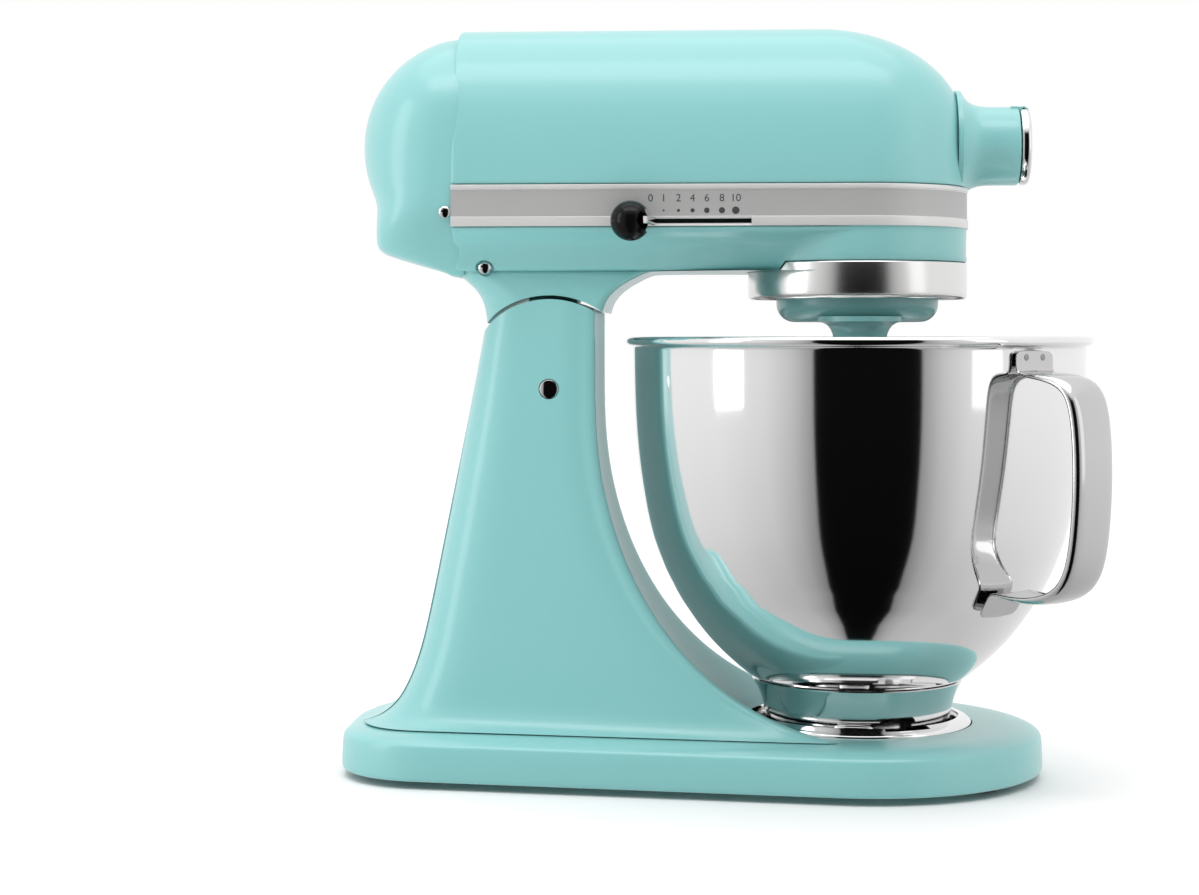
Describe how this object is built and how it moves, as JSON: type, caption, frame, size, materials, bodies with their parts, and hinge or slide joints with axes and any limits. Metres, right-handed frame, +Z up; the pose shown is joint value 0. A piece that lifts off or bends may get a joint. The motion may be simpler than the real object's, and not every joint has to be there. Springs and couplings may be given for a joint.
{
  "type": "stand mixer",
  "caption": "Tilt-head stand mixer with a polished steel bowl clamped to its base, a planetary drive under the head, a slide speed control and a front attachment hub.",
  "frame": {"origin": "middle of the mixer's outline on the table", "axes": "+X towards the front, where the attachment hub is; +Y to the mixer's left side, where the head lock is; +Z up"},
  "size_m": [0.3544, 0.2234, 0.3528],
  "materials": {
    "enamel": "satin",
    "polished_steel": "polished",
    "chrome_trim": "polished",
    "brushed_band": "brushed",
    "brushed_ring": "brushed",
    "bright_steel": "bright",
    "gear_steel": "machined",
    "bronze": "machined",
    "brass": "plain",
    "alloy": "cast",
    "iron_core": "laminated",
    "black_gloss": "gloss",
    "black_resin": "matt",
    "rubber": "matt"
  },
  "bodies": {
    "stand": {"base_casting": "enamel", "pedestal": "enamel", "foot_1": "rubber", "foot_2": "rubber", "foot_3": "rubber", "foot_4": "rubber", "foot_5": "rubber", "bowl_clamp_plate": "chrome_trim", "clamp_screw_1": "bright_steel", "clamp_screw_2": "bright_steel", "clamp_screw_3": "bright_steel", "pedestal_screw_1": "gear_steel", "pedestal_screw_2": "gear_steel", "pedestal_screw_3": "gear_steel", "pedestal_screw_4": "gear_steel", "hinge_pin": "chrome_trim"},
    "head": {"head_lower_housing": "enamel", "head_upper_housing": "enamel", "rear_cover": "enamel", "rear_cover_screw_1": "chrome_trim", "rear_cover_screw_2": "chrome_trim", "trim_band": "brushed_band", "drip_ring": "brushed_ring", "neck_screw_1": "chrome_trim", "neck_screw_2": "chrome_trim", "height_adjust_screw": "gear_steel", "motor_field": "iron_core", "rear_bearing_bracket": "alloy", "front_bearing_bracket": "alloy", "brush_holder_1": "brass", "brush_holder_2": "brass", "speed_control_plate": "black_resin", "ring_gear": "gear_steel", "cord_gland": "rubber", "hub_hinge_pin": "bright_steel"},
    "carrier": {"center_gear": "gear_steel", "center_shaft": "bright_steel", "planetary": "enamel", "planetary_pin": "bright_steel"},
    "beater_drive": {"beater_shaft": "bright_steel", "beater_pinion": "gear_steel", "beater_pin": "bright_steel"},
    "worm_wheel": {"worm_gear": "bronze"},
    "motor": {"armature": "iron_core", "commutator": "brass", "cooling_fan": "black_resin", "worm": "gear_steel"},
    "hub_drive": {"hub_gear_shaft": "gear_steel"},
    "speed_control": {"speed_lever": "bright_steel", "speed_knob": "black_gloss"},
    "head_lock": {"lock_lever": "bright_steel", "lock_knob": "black_gloss"},
    "hub_cover": {"hub_cover": "chrome_trim"},
    "attachment_screw": {"attachment_knob": "black_gloss"},
    "mixing_bowl": {"bowl": "polished_steel", "bowl_foot": "polished_steel", "bowl_handle": "polished_steel"}
  },
  "joints": [
    {"name": "head_tilt", "type": "hinge", "parent": "stand", "child": "head", "pos_m": [-0.0773, 0.00145, 0.1823], "axis": [0, -1, 0], "range_deg": [0, 45]},
    {"name": "planetary_spin", "type": "hinge", "parent": "head", "child": "carrier", "pos_m": [0.067, 0.00145, 0.222], "axis": [0, 0, 1], "continuous": true},
    {"name": "beater_spin", "type": "hinge", "parent": "carrier", "child": "beater_drive", "pos_m": [0.067, -0.02704, 0.222], "axis": [0, 0, 1], "continuous": true},
    {"name": "worm_wheel_spin", "type": "hinge", "parent": "head", "child": "worm_wheel", "pos_m": [0.0411, 0.02645, 0.29], "axis": [0, 0, 1], "continuous": true},
    {"name": "motor_spin", "type": "hinge", "parent": "head", "child": "motor", "pos_m": [0.067, 0.00145, 0.3], "axis": [1, 0, 0], "continuous": true},
    {"name": "hub_drive_spin", "type": "hinge", "parent": "head", "child": "hub_drive", "pos_m": [0.067, 0.00145, 0.297], "axis": [1, 0, 0], "continuous": true},
    {"name": "speed_slide", "type": "slide", "parent": "head", "child": "speed_control", "axis": [1, 0, 0], "range_m": [0, 0.038]},
    {"name": "lock_swing", "type": "hinge", "parent": "head", "child": "head_lock", "pos_m": [-0.058, 0.00145, 0.233], "axis": [0, 1, 0], "range_deg": [0, 55]},
    {"name": "hub_cover_flip", "type": "hinge", "parent": "head", "child": "hub_cover", "pos_m": [0.1449, 0.00145, 0.3136], "axis": [0, -1, 0], "range_deg": [0, 95]},
    {"name": "attachment_knob_turn", "type": "hinge", "parent": "head", "child": "attachment_screw", "pos_m": [0.13, 0.00145, 0.297], "axis": [0, 1, 0], "continuous": true},
    {"name": "bowl_twist", "type": "hinge", "parent": "stand", "child": "mixing_bowl", "pos_m": [0.067, 0.00145, 0.03], "axis": [0, 0, 1], "range_deg": [0, 30]}
  ],
  "couplings": [
    {"joint": "planetary_spin", "follows": "motor_spin", "ratio": 0.027778},
    {"joint": "beater_spin", "follows": "motor_spin", "ratio": -0.08642},
    {"joint": "worm_wheel_spin", "follows": "motor_spin", "ratio": -0.083333},
    {"joint": "hub_drive_spin", "follows": "motor_spin", "ratio": 0.083333}
  ]
}
